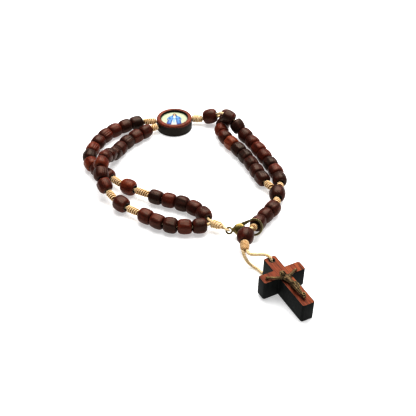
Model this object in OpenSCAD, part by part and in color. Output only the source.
// Rosary bracelet of barrel beads on cord, lying flat, with medal, lobster clasp and cross.
// Millimetres, +Z up, the origin on the surface under the middle of its outline.

/* [Beads] */
// Diameter of every bead at its middle
bead_d = 6; // [5.6:0.1:6.2]
// Length of a small bead along its bore
bead_len = 4.9; // [4.6:0.1:5.4]
// Length of a large bead, which parts the groups of ten
big_len = 5.7; // [5.2:0.1:6.2]
// Diameter of the bore through a small bead
bore_d = 2; // [1.8:0.05:2.2]
// Diameter of the wider bore where two threads meet in a large bead
twin_bore_d = 3; // [2.9:0.05:3.3]
// Radius of the rounding at the rim of a bead's ends
bead_corner = 1.4; // [0.8:0.1:1.6]
// Radius of the crowned side of a bead, seen from the side
side_crown = 9; // [7:0.5:14]
// Radius of the domed ends of a bead
end_crown = 4.6; // [4.4:0.1:6]
// Beads in each of the three full groups
decade = 10; // [9:1:10]
// Beads in the outer group on the right
short_decade = 9; // [8:1:9]
// Clear space between neighbouring beads of the outer left strand
bead_gap = 0.4; // [0.2:0.05:0.6]

/* [Cord] */
// Diameter of the thread inside the beads
thread_d = 1.1; // [0.9:0.05:1.2]
// Diameter of the cord that carries the cross
cross_cord_d = 1.1; // [0.9:0.05:1.2]
// Diameter of a wound knot
knot_d = 2.8; // [2.6:0.1:3]
// Diameter of the bore through a knot
knot_bore_d = 1.7; // [1.6:0.05:1.8]
// Width of one turn of cord in a knot
wrap_w = 0.9; // [0.7:0.1:1.2]

/* [Medal] */
// Diameter of the medal
medal_d = 14.6; // [14:0.1:16]
// Height of the medal
medal_h = 5.1; // [4.8:0.1:6]
// Width of the rim round the picture
rim_w = 1.7; // [1.2:0.1:2]
// Depth of the recess that holds the picture
recess = 1.45; // [1:0.05:1.5]
// Thickness of the picture disc
picture_t = 0.5; // [0.3:0.1:0.8]

/* [Clasp] */
// Inner radius of the hook ring
ring_in = 2.4; // [2.3:0.05:2.7]
// Wall of the hook ring
ring_wall = 0.7; // [0.5:0.05:1]
// Depth of the hook ring
ring_depth = 2; // [1.8:0.1:2.4]
// Radius of the clasp's body at its middle
bulb_r = 2.3; // [2.2:0.05:2.5]
// Thickness of the lever
lever_t = 1.2; // [0.8:0.1:1.4]
// Clear space on each side of the lever
lever_gap = 0.1; // [0.05:0.01:0.15]
// Radius of the lever's pin
pin_r = 0.35; // [0.3:0.01:0.4]
// Running clearance round the pin
pin_gap = 0.04; // [0.02:0.01:0.08]
// Radius of the wire of the eye at the clasp's end
eye_wire = 0.32; // [0.25:0.01:0.35]
// Radius from the middle of the eye to the middle of its wire
eye_r = 1.08; // [1.05:0.01:1.2]

/* [Cross] */
// Length of the cross from foot to head
cross_len = 24.3; // [24:0.1:28]
// Span of the cross over both arms
cross_span = 15.8; // [14:0.1:18]
// Width of the upright
upright_w = 4.6; // [4.4:0.1:5.5]
// Width of the arms
arm_w = 4.2; // [3.5:0.1:5]
// Distance from the foot to the middle of the arms
arm_at = 16.1; // [15:0.1:17]
// Thickness of the cross
cross_t = 7; // [6.8:0.1:8]
// Radius of the upright edges of the cross
cross_corner = 0.8; // [0.4:0.1:1.2]
// Diameter of the hole for the cord in the head of the cross
cord_hole_d = 2.4; // [2.2:0.05:2.6]
// Distance from the head of the cross to the middle of that hole
cord_hole_at = 1.9; // [1.9:0.1:2.4]
// Angle by which the head of the cross is raised on its cord
cross_tilt = 3; // [3:0.25:4]

/* [Hidden] */
$fn = 48;

eps = 0.01;
bead_r = bead_d / 2;
thread_r = thread_d / 2;
medal_r = medal_d / 2;
piece_gap = 0.35;

// Routes of the strands, chosen by eye as round numbers, for a bead 6 mm across.
route_bead_d = 6;
medal_at = [-7, 54.7];
left_outer_route = [
    [-11.5, 55.2, 2.5], [-14.5, 55.6, 2.5], [-18, 55.2, 3], [-23.5, 53.5, 3], [-28, 50.5, 3],
    [-32, 47.5, 3], [-35, 43.5, 3], [-37, 39.5, 3], [-38.5, 35, 3], [-39.5, 30.5, 3],
    [-39.5, 26.5, 3], [-37.5, 22, 3], [-34, 18.5, 3], [-30.5, 15.5, 3], [-26, 10.5, 3],
    [-21.5, 7.5, 3], [-17, 5, 3], [-12, 2, 3], [-6.5, 0, 3], [-1.5, -2, 3],
    [3, -5, 3], [6, -9, 3], [7.4, -11.5, 3], [9, -13, 3]
];
left_inner_route = [
    [-10.8, 53, 2.5], [-13.5, 51.9, 2.5], [-15.5, 50.2, 2.9], [-18.5, 47, 3.05], [-22, 43.5, 3.02],
    [-25, 40, 3.02], [-27.5, 36, 3], [-29, 31.5, 3.3], [-30.5, 27, 5.1], [-31.9, 22, 8],
    [-33.2, 16.6, 9.1], [-33.4, 11.6, 8.2], [-32, 7.1, 5.9], [-29, 2.6, 3.7], [-24.5, -2.5, 3],
    [-20, -6, 3], [-15.5, -9, 3], [-11.5, -12, 3], [-6.5, -14.5, 3], [-1, -15.5, 3],
    [3.2, -15.1, 3], [5.9, -14.5, 3], [7.5, -13.7, 3], [8.7, -14.1, 3]
];
right_inner_route = [
    [-2.5, 57, 2.5], [0, 57.9, 2.5], [2.6, 58.1, 2.5], [5, 57.6, 2.4], [7.7, 57.2, 3], [10.4, 57.1, 3.7],
    [11.2, 58.8, 4.8], [12.2, 60.8, 5.2], [13.8, 61.3, 4.6], [14.9, 60.8, 3.3], [14.9, 58.4, 3.05],
    [14.3, 55.6, 3.02], [12.9, 52.2, 3], [12.2, 49.6, 3], [12.6, 46.2, 3], [14.4, 41.5, 3],
    [17.2, 37, 3], [19.7, 32.6, 3], [22.1, 28, 3], [24.1, 23.2, 3], [25.9, 18.4, 3],
    [27.6, 13.7, 3], [29.5, 10.1, 3], [32.3, 6.4, 3]
];
right_outer_route = [
    [5, 57.5, 3.6], [7.7, 57.2, 4.25], [10.5, 57, 5], [11.9, 54.4, 7.2], [13.4, 50.9, 9.1],
    [15.6, 49.5, 8.3], [17.7, 48.6, 7.1], [18.6, 47.9, 5.7], [19.6, 46.9, 4.5], [21.2, 45, 3.4],
    [22.8, 42.9, 3.05], [25.2, 38, 3.05], [27.4, 33.2, 3.02], [29.3, 28.4, 3], [31.4, 23.4, 3],
    [33.1, 18.4, 3], [34.1, 13.6, 3], [34.3, 9.9, 3], [33.5, 6.4, 3]
];
pendant_route = [
    [32.8, 5.2, 3], [32.7, 3, 3], [31.9, -2, 3], [29.8, -6, 3.02], [27, -9.3, 3],
    [25.3, -12.4, 3.1], [24, -15.2, 3.4], [23.2, -17.3, 4.5], [22.4, -19.2, 5.6], [20.9, -20.4, 5.8],
    [19.8, -21.9, 5.3], [19.6, -25, 5.1], [19.4, -28, 5.4], [19.4, -29.6, 5.55]
];

// Lengths of the knots along each strand, from its start.
left_outer_knots = [5.6, 5.6, 6.2];
left_inner_knots = [3.8, 5.1, 5.8];
right_inner_knots = [4.5, 4.2];
right_outer_knots = [3];
pendant_knots = [3.5, 3.4, 4.4];
ring_knot_d = 2.6;
end_knot_d = 3.2;
cord_pocket_d = 2.6;
cord_pocket = 1.1;
clasp_knot_d = 3.6;
clasp_knot_len = 4.8;
clasp_knot_bore_d = 2.9;
left_beads = 5;
pendant_beads = 3;

// Bare thread on top of the usual gap, where a strand turns.
bare_by_medal = 7.2;
bare_by_ring = [0.5, 2.4];

// Route of the cord that carries the cross, out of the end knot and back into it.
cross_cord_route = [
    [20, -30.2, 5.7], [20.1, -31.5, 5.6], [21, -32.8, 5.4], [22.6, -33.8, 5.8], [24.2, -35.2, 7],
    [25.5, -36.8, 8.4],
    [26.8, -38, 8.9], [27.7, -38.9, 8.4], [28, -39.4, 7], [28, -39.4, 5], [27.9, -39.3, 3.2],
    [27.5, -39, 1.5], [26.4, -38.2, 0.6], [25.2, -37.2, 0.6], [23.9, -35.4, 0.6], [22.4, -34.1, 0.7],
    [21, -33.5, 1.6], [19.7, -32.9, 3.4], [18.9, -31.7, 5.2], [18.85, -30.2, 5.6]
];
cross_hole_at = [27.9, -39.3];
cross_heading = 118.5;

// Running sums of a list, from 0 to the whole.
function sums(list) =
    [for (i = 0, sum = 0; i <= len(list); sum = sum + (i < len(list) ? list[i] : 0), i = i + 1) sum];

function total(list) = sums(list)[len(list)];

function repeated(value, count) = [for (i = [1:count]) value];

function unit(v) = v / norm(v);

// One point of the smooth curve through four points, between the middle two.
function between(a, b, c, d, t) =
    0.5 * (2 * b + (c - a) * t + (2 * a - 5 * b + 4 * c - d) * t * t
        + (3 * b - a - 3 * c + d) * t * t * t);

// The smooth curve through all points of a route, with a number of steps per stretch.
function smooth(route, steps) =
    let (n = len(route),
        p = concat([2 * route[0] - route[1]], route, [2 * route[n - 1] - route[n - 2]]))
    concat(
        [for (i = [1:n - 1], k = [0:steps - 1]) between(p[i - 1], p[i], p[i + 1], p[i + 2], k / steps)],
        [route[n - 1]]);

function spans(path) = [for (i = [1:len(path) - 1]) norm(path[i] - path[i - 1])];

function flat(p) = [p.x, p.y];

// A strand's first piece starts just outside the medal.
function lead_from_medal(route) = medal_r + piece_gap - norm(flat(route[0]) - medal_at);

// The pieces of the outer left strand set how large the whole loop is.
path_steps = 8;
left_margin = 3.4;
left_outer_pieces = concat(
    left_outer_knots[0], repeated(bead_len, decade), left_outer_knots[1], big_len,
    left_outer_knots[2], repeated(bead_len, left_beads));
stretch = (lead_from_medal(left_outer_route) + total(left_outer_pieces)
    + bead_gap * (len(left_outer_pieces) - 1) + left_margin)
    / total(spans(smooth(left_outer_route, path_steps)));
lift = bead_d / route_bead_d;

// The middle of the whole outline, as the routes are written.
middle = [-1.02, 1.02];

function placed(p) = [p.x * stretch - middle.x, p.y * stretch - middle.y, p.z * lift];

function placed_route(route) = [for (p = route) placed(p)];

// A strand is its curve as tables of X, Y and Z along it, where its pieces start, and their lengths.
function strand(route, lead, margin, pieces) =
    let (path = smooth(placed_route(route), path_steps), along = sums(spans(path)),
        n = len(path) - 1, before = sums(pieces),
        gap = (along[n] - lead - margin - total(pieces)) / (len(pieces) - 1))
    [[for (axis = [0:2]) [for (i = [0:n]) [along[i], path[i][axis]]]],
        [for (i = [0:len(pieces) - 1]) lead + before[i] + i * gap], pieces];

// The place on a strand, or past its start or end on a straight line.
function spot(s, at) =
    let (last = s[0][0][len(s[0][0]) - 1][0], inside = max(0, min(last, at)),
        p = [for (axis = [0:2]) lookup(inside, s[0][axis])],
        q = [for (axis = [0:2]) lookup(at < 0 ? 0.2 : last - 0.2, s[0][axis])])
    at == inside ? p : p + unit(p - q) * abs(at - inside);

function piece_start(s, i) = spot(s, s[1][i]);

function piece_end(s, i) = spot(s, s[1][i] + s[2][i]);

function piece_middle(s, i) = (piece_start(s, i) + piece_end(s, i)) / 2;

left_outer = strand(left_outer_route, lead_from_medal(left_outer_route), left_margin, left_outer_pieces);

left_inner_pieces = concat(
    left_inner_knots[0], repeated(bead_len, decade), left_inner_knots[1], big_len,
    left_inner_knots[2], repeated(bead_len, left_beads));
left_inner = strand(left_inner_route, lead_from_medal(left_inner_route), 2.6, left_inner_pieces);

right_inner_pieces = concat(
    right_inner_knots[0], big_len, bare_by_medal, repeated(bead_len, decade), right_inner_knots[1]);
// This strand's first knot meets the medal slantwise and so keeps a little farther off.
slant_clearance = 0.35;
right_inner_margin = 1.9;
right_inner = strand(
    right_inner_route, lead_from_medal(right_inner_route) + slant_clearance,
    right_inner_margin, right_inner_pieces);

right_outer_pieces = concat(repeated(bead_len, short_decade), right_outer_knots[0]);
// Bare thread before the first bead of the right outer strand, which rises out of the big bead.
right_outer_lead = 13.9;
right_outer_margin = 1.2;
right_outer = strand(right_outer_route, right_outer_lead, right_outer_margin, right_outer_pieces);

pendant_pieces = concat(
    big_len, pendant_knots[0], repeated(bead_len, pendant_beads), bare_by_ring[0],
    pendant_knots[1], bare_by_ring[1], big_len, pendant_knots[2]);
ring_knot = pendant_beads + 3;
// The junction bead reaches back over the ends of the threads that meet in it.
junction_lead = -1.7;
pendant = strand(pendant_route, junction_lead, -1.4, pendant_pieces);

module aim(direction)
    rotate([0, acos(direction.z / norm(direction)), atan2(direction.y, direction.x)])
        children();

// Children stand at the middle of a strand's piece, with +Z along the strand.
module on_strand(s, i)
    translate(piece_middle(s, i))
        aim(piece_end(s, i) - piece_start(s, i))
            children();

// Half of a rectangle with rounded outer corners, from the axis outwards.
module round_half(r, len, corner) {
    translate([0, -len / 2]) square([r - corner, len]);
    translate([0, corner - len / 2]) square([r, len - 2 * corner]);
    for (side = [-1, 1])
        translate([r - corner, side * (len / 2 - corner)]) circle(r = corner);
}

// A barrel bead: a rounded tube wall inside a crowned side and two domed ends.
module bead(len, bore)
    rotate_extrude()
        intersection() {
            round_half(bead_r, len, bead_corner);
            translate([bead_r - side_crown, 0]) circle(r = side_crown);
            translate([0, len / 2 - end_crown]) circle(r = end_crown);
            translate([0, end_crown - len / 2]) circle(r = end_crown);
            translate([bore / 2, -len / 2]) square([bead_r, len]);
        }

// A knot wound from cord: a drilled core with one round ridge for each turn.
module knot(len, d, bore = knot_bore_d) {
    turns = max(2, round(len / wrap_w));
    pitch = len / turns;
    ridge = 0.56 * pitch;
    rotate_extrude()
        intersection() {
            union() {
                translate([0, (pitch - len) / 2]) square([d / 2 - ridge, len - pitch]);
                for (turn = [0:turns - 1])
                    translate([d / 2 - ridge, (turn + 0.5) * pitch - len / 2]) circle(r = ridge);
            }
            translate([bore / 2, -len / 2]) square([d, len]);
        }
}

// A round cord swept along a path, eight sides to a ring.
tube_sides = 8;
tube_steps = 2;
function tangent(path, i) =
    unit(path[min(i + 1, len(path) - 1)] - path[max(i - 1, 0)]);

function normals(path) =
    [for (i = 0, n = unit(cross(tangent(path, 0), [0.1, 0.2, 1])); i < len(path);
        n = unit(n - (n * tangent(path, i + 1)) * tangent(path, i + 1)), i = i + 1) n];

module tube(path, d) {
    m = tube_sides;
    last = len(path) - 1;
    across = normals(path);
    points = [for (i = [0:last], k = [0:m - 1])
        let (a = 360 * k / m, up = cross(tangent(path, i), across[i]))
        path[i] + d / 2 * (cos(a) * across[i] + sin(a) * up)];
    sides = [for (i = [0:last - 1], k = [0:m - 1], half = [0, 1])
        let (a = i * m + k, b = i * m + (k + 1) % m)
        half == 0 ? [a, a + m, b] : [b, a + m, b + m]];
    polyhedron(points, concat([[for (k = [0:m - 1]) k]], sides, [[for (k = [m - 1:-1:0]) last * m + k]]));
}

module thread(route) color(cord_colour) tube(smooth(placed_route(route), tube_steps), thread_d);

wood_colour = "#5a241b";
dark_wood_colour = "#2a1512";
face_wood_colour = "#94482f";
cord_colour = "#d8bc86";
bronze_colour = "#8d7b45";
corpus_colour = "#7a6542";
picture_colour = "#dfe3c4";

// Medal

medal_place = placed([medal_at.x, medal_at.y, 0]);
medal_round = 0.5;
mouth = 0.3;
picture_gap = 0.15;
hole_gap = 0.15;
picture_r = medal_r - rim_w - picture_gap;

// A blind hole in the medal's side around the start of a thread.
module thread_hole(route) {
    from = placed(route[0]);
    along = placed(route[1]) - from;
    translate(from) aim(along) translate([0, 0, -0.4]) cylinder(r = thread_r + hole_gap, h = medal_r);
}

module medal_case()
    color(dark_wood_colour)
        difference() {
            translate(medal_place)
                difference() {
                    translate([0, 0, medal_h / 2])
                        rotate_extrude()
                            intersection() {
                                round_half(medal_r, medal_h, medal_round);
                                translate([0, -medal_h]) square([medal_d, 2 * medal_h]);
                            }
                    translate([0, 0, medal_h - recess])
                        cylinder(r = medal_r - rim_w, h = recess + eps);
                    translate([0, 0, medal_h - mouth])
                        cylinder(r1 = medal_r - rim_w, r2 = medal_r - rim_w + mouth, h = mouth + eps);
                }
            thread_hole(left_outer_route);
            thread_hole(left_inner_route);
            thread_hole(right_inner_route);
        }

module medal_picture()
    color(picture_colour)
        translate(medal_place + [0, 0, medal_h - recess + 0.02])
            cylinder(r = picture_r, h = picture_t);

// Beads

module bead_row(s, first, count)
    color(wood_colour)
        for (i = [first:first + count - 1])
            on_strand(s, i) bead(bead_len, bore_d);

module big_bead(s, i, bore = bore_d)
    color(wood_colour) on_strand(s, i) bead(big_len, bore);

after_decade = decade + 1;

module beads_left_outer() bead_row(left_outer, 1, decade);
module beads_left_inner() bead_row(left_inner, 1, decade);
module beads_right_inner() bead_row(right_inner, 3, decade);
module beads_right_outer() bead_row(right_outer, 0, short_decade);
module beads_front_inner() bead_row(left_outer, after_decade + 3, left_beads);
module beads_front_outer() bead_row(left_inner, after_decade + 3, left_beads);
module beads_pendant() bead_row(pendant, 2, pendant_beads);

module big_bead_left_outer() big_bead(left_outer, after_decade + 1);
module big_bead_left_inner() big_bead(left_inner, after_decade + 1);
module big_bead_junction() big_bead(pendant, 0, twin_bore_d);
module big_bead_pendant() big_bead(pendant, ring_knot + 2);

// The bead by the medal sits a little high, round both threads.
twin_rise = 0.55;
module big_bead_medal() translate([0, 0, twin_rise]) big_bead(right_inner, 1, twin_bore_d);

// Knots

module strand_knot(s, i, d = knot_d) color(cord_colour) on_strand(s, i) knot(s[2][i], d);

module knot_medal_outer() strand_knot(left_outer, 0);
module knot_before_outer() strand_knot(left_outer, after_decade);
module knot_after_outer() strand_knot(left_outer, after_decade + 2);
module knot_medal_inner() strand_knot(left_inner, 0);
module knot_before_inner() strand_knot(left_inner, after_decade);
module knot_after_inner() strand_knot(left_inner, after_decade + 2);
module knot_medal_right() strand_knot(right_inner, 0);
module knot_right_inner() strand_knot(right_inner, decade + 3, ring_knot_d);
module knot_right_outer() strand_knot(right_outer, short_decade, ring_knot_d);
module knot_junction() strand_knot(pendant, 1);
module knot_in_ring() strand_knot(pendant, ring_knot, ring_knot_d);

// The end knot has a pocket for the two ends of the cross's cord.
module knot_end()
    color(cord_colour)
        on_strand(pendant, ring_knot + 3)
            difference() {
                knot(pendant_knots[2], end_knot_d);
                translate([0, 0, pendant_knots[2] / 2 - cord_pocket])
                    cylinder(d = cord_pocket_d, h = cord_pocket + eps);
            }

clasp_knot_from = placed([7.9, -13.1, 3]);
clasp_knot_dir = unit([0.9, -0.44, 0]);
module knot_clasp()
    color(cord_colour)
        translate(clasp_knot_from + clasp_knot_dir * clasp_knot_len / 2)
            aim(clasp_knot_dir)
                knot(clasp_knot_len, clasp_knot_d, clasp_knot_bore_d);

// Threads

module thread_left_outer() thread(left_outer_route);
module thread_left_inner() thread(left_inner_route);
module thread_right_inner() thread(right_inner_route);
module thread_right_outer() thread(right_outer_route);
module thread_pendant() thread(pendant_route);

// Clasp, in its own frame: +X from the eye to the ring, +Z through the ring

clasp_turn = [52, -9, -5];
clasp_offset = [0.2, 0.3, -0.2];
clasp_place = piece_middle(pendant, ring_knot) + clasp_offset;
ring_out = ring_in + ring_wall;
hook_from = -150;
hook_to = 115;
bulb_at = [-5.1, -0.4];
bulb_left = -7.7;
bulb_right = -3.5;
neck_r = 0.6;
lever_pivot = [-5, 0.7];
lever_boss_r = 0.85;
eye_at = [bulb_left - eye_r - 0.2, -0.6];
loop_thread_d = 0.9;
loop_gap = 0.15;
loop_angle = 150;

module in_clasp() translate(clasp_place) rotate(clasp_turn) children();

function turned(p, turn) =
    let (a = [p.x, p.y * cos(turn.x) - p.z * sin(turn.x), p.y * sin(turn.x) + p.z * cos(turn.x)],
        b = [a.x * cos(turn.y) + a.z * sin(turn.y), a.y, a.z * cos(turn.y) - a.x * sin(turn.y)])
    [b.x * cos(turn.z) - b.y * sin(turn.z), b.x * sin(turn.z) + b.y * cos(turn.z), b.z];

function clasp_point(p) = clasp_place + turned(p, clasp_turn);

module hook_ring()
    rotate([0, 0, hook_from])
        rotate_extrude(angle = hook_to - hook_from)
            translate([ring_in + ring_wall / 2, 0])
                intersection() {
                    square([ring_wall, ring_depth], center = true);
                    circle(d = ring_depth + 0.12);
                }

// The drop-shaped body, a turned form with flatter cheeks.
cheek_r = 2.9;
cheek_in = 1.2;
module bulb()
    intersection() {
        translate([bulb_at.x, bulb_at.y, 0])
            rotate([0, 90, 0])
                rotate_extrude()
                    intersection() {
                        union() {
                            circle(r = bulb_r);
                            polygon([[0, bulb_left - bulb_at.x], [neck_r, bulb_left - bulb_at.x],
                                [bulb_r * 0.86, -bulb_r * 0.52], [0, 0]]);
                        }
                        translate([0, bulb_left - bulb_at.x])
                            square([bulb_r, bulb_right - bulb_left]);
                    }
        translate([bulb_left, bulb_at.y, 0])
            rotate([90, 0, 90])
                linear_extrude(bulb_right - bulb_left)
                    intersection() {
                        translate([0, cheek_in]) circle(r = cheek_r);
                        translate([0, -cheek_in]) circle(r = cheek_r);
                    }
    }

module clasp_body()
    color(bronze_colour)
        in_clasp() {
            hook_ring();
            translate([0, 0, -ring_depth / 2])
                linear_extrude(ring_depth)
                    polygon([[-4.4, -0.9], [-ring_in * 0.88, -ring_in * 0.5], [-1.5, -2.5],
                        [-2.6, -2.5], [-4.4, -2.4]]);
            difference() {
                bulb();
                translate([bulb_left + 1.2, lever_pivot.y - lever_boss_r - 0.15, -lever_t / 2 - lever_gap])
                    cube([ring_out * 2, bulb_r * 2, lever_t + 2 * lever_gap]);
            }
            translate([lever_pivot.x, lever_pivot.y, -lever_t / 2 - 2 * lever_gap])
                cylinder(r = pin_r, h = lever_t + 4 * lever_gap);
            translate([eye_at.x, eye_at.y, 0])
                rotate_extrude() translate([eye_r, 0]) circle(r = eye_wire);
            translate([eye_at.x + eye_r - eye_wire / 2, eye_at.y, 0])
                rotate([0, 90, 0])
                    cylinder(r = eye_wire * 1.4, h = bulb_left + 0.6 - eye_at.x - eye_r);
        }

lever_tip_gap = 0.15;
module clasp_lever()
    color(bronze_colour)
        in_clasp()
            translate([0, 0, -lever_t / 2])
                difference() {
                    linear_extrude(lever_t) {
                        translate(lever_pivot) circle(r = lever_boss_r);
                        polygon([
                            ring_in * [cos(hook_to), sin(hook_to)] - lever_tip_gap * [1, 0.4],
                            ring_out * [cos(hook_to), sin(hook_to)] - lever_tip_gap * [1, 0.4],
                            lever_pivot + [0.4, 1.15], lever_pivot + [-0.45, 0.7],
                            lever_pivot + [0.5, -0.6], lever_pivot + [1.7, 0.25]
                        ]);
                    }
                    translate([lever_pivot.x, lever_pivot.y, -eps])
                        cylinder(r = pin_r + pin_gap, h = lever_t + 2 * eps);
                }

// A thread goes from the clasp knot through the clasp's eye and back.
module thread_clasp() {
    reach = eye_wire + loop_thread_d / 2 + loop_gap;
    out = [cos(loop_angle), sin(loop_angle), 0];
    wire = [eye_at.x, eye_at.y, 0] + eye_r * out;
    knot_mouth = clasp_knot_from + clasp_knot_dir * clasp_knot_len;
    apart = [0, 0, loop_thread_d / 2 + loop_gap];
    loop = [
        knot_mouth + apart - clasp_knot_dir, knot_mouth + apart,
        clasp_point(wire + [0, 0, reach]), clasp_point(wire - reach * out),
        clasp_point(wire - [0, 0, reach]),
        knot_mouth - apart, knot_mouth - apart - clasp_knot_dir
    ];
    color(cord_colour) tube(smooth(loop, 4), loop_thread_d);
}

// Cross, in its own frame: +Y from the foot to the head, +Z out of its face

// The hole for the cord opens wider at the back of the cross than at its face.
back_mouth_d = 3.5;
back_mouth = (back_mouth_d - cord_hole_d) / 2;
face_mouth_d = 3.3;
face_mouth = (face_mouth_d - cord_hole_d) / 2;
hole_from_foot = cross_len - cord_hole_at;

module in_cross()
    translate([cross_hole_at.x - middle.x, cross_hole_at.y - middle.y, 0])
        rotate([0, 0, cross_heading - 90])
            translate([0, -hole_from_foot * cos(cross_tilt), 0])
                rotate([cross_tilt, 0, 0])
                    children();

module round_bar(size, corner) {
    translate([-size.x / 2 + corner, 0]) square([size.x - 2 * corner, size.y]);
    translate([-size.x / 2, corner]) square([size.x, size.y - 2 * corner]);
    for (x = [-1, 1], y = [corner, size.y - corner])
        translate([x * (size.x / 2 - corner), y]) circle(r = corner);
}

module cross_body()
    color(face_wood_colour)
        in_cross()
            difference() {
                linear_extrude(cross_t) {
                    round_bar([upright_w, cross_len], cross_corner);
                    translate([0, arm_at - arm_w / 2]) round_bar([cross_span, arm_w], cross_corner);
                }
                translate([0, hole_from_foot, -eps]) {
                    cylinder(d = cord_hole_d, h = cross_t + 2 * eps);
                    cylinder(d1 = back_mouth_d, d2 = cord_hole_d, h = back_mouth);
                    translate([0, 0, cross_t - face_mouth + 2 * eps])
                        cylinder(d1 = cord_hole_d, d2 = face_mouth_d, h = face_mouth);
                }
            }

// Figure on the cross. Its places are shares of its height, from the feet, and of the cross's face.
figure_h = 0.52 * cross_len;
feet_at = 0.13 * cross_len;
figure_gap = 0.05;
fine = 10;

module limb(from, to, r1, r2)
    hull() {
        translate(figure_h * from) sphere(r = figure_h * r1, $fn = fine);
        translate(figure_h * to) sphere(r = figure_h * r2, $fn = fine);
    }

module figure() {
    for (side = [-1, 1]) {
        limb([side * 0.08, 0.79, 0.07], [side * 0.25, 0.89, 0.06], 0.042, 0.033);
        limb([side * 0.25, 0.89, 0.06], [side * 0.4, 0.98, 0.035], 0.033, 0.026);
        limb([side * 0.4, 0.98, 0.035], [side * 0.43, 1.01, 0.03], 0.028, 0.022);
        limb([side * 0.04, 0.43, 0.06], [side * 0.045, 0.23, 0.115], 0.058, 0.046);
        limb([side * 0.045, 0.23, 0.115], [side * 0.02, 0.05, 0.05], 0.042, 0.028);
        limb([side * 0.02, 0.05, 0.05], [side * 0.012, 0, 0.07], 0.028, 0.02);
        limb([side * 0.045, 0.77, 0.07], [side * 0.035, 0.62, 0.065], 0.062, 0.05);
        limb([side * 0.035, 0.62, 0.065], [side * 0.04, 0.48, 0.055], 0.05, 0.055);
    }
    limb([0, 0.76, 0.085], [0, 0.66, 0.08], 0.055, 0.045);
    limb([0, 0.8, 0.09], [-0.02, 0.86, 0.11], 0.034, 0.034);
    limb([-0.07, 0.5, 0.055], [0.085, 0.42, 0.06], 0.06, 0.055);
    limb([-0.05, 0.44, 0.06], [0.05, 0.36, 0.07], 0.062, 0.062);
    limb([0.1, 0.45, 0.06], [0.13, 0.33, 0.045], 0.035, 0.025);
    limb([-0.035, 0.92, 0.125], [-0.04, 0.875, 0.15], 0.062, 0.048);
    limb([-0.03, 0.94, 0.11], [-0.005, 0.86, 0.09], 0.07, 0.045);
}

module corpus()
    color(corpus_colour)
        in_cross()
            intersection() {
                translate([0, feet_at, cross_t]) {
                    figure();
                    translate([0, -0.05 * figure_h, 0]) cylinder(r = 0.045 * figure_h, h = 0.08 * figure_h);
                }
                translate([-cross_span / 2, 0, cross_t + figure_gap])
                    cube([cross_span, cross_len, cross_t]);
            }

module cross_cord()
    color(cord_colour)
        tube([for (p = smooth(cross_cord_route, tube_steps)) p - [middle.x, middle.y, 0]], cross_cord_d);

medal_case();
medal_picture();
beads_left_outer();
beads_left_inner();
beads_right_inner();
beads_right_outer();
beads_front_inner();
beads_front_outer();
beads_pendant();
big_bead_left_outer();
big_bead_left_inner();
big_bead_medal();
big_bead_junction();
big_bead_pendant();
knot_medal_outer();
knot_before_outer();
knot_after_outer();
knot_medal_inner();
knot_before_inner();
knot_after_inner();
knot_medal_right();
knot_right_inner();
knot_right_outer();
knot_junction();
knot_in_ring();
knot_end();
knot_clasp();
thread_left_outer();
thread_left_inner();
thread_right_inner();
thread_right_outer();
thread_pendant();
thread_clasp();
clasp_body();
clasp_lever();
cross_body();
corpus();
cross_cord();
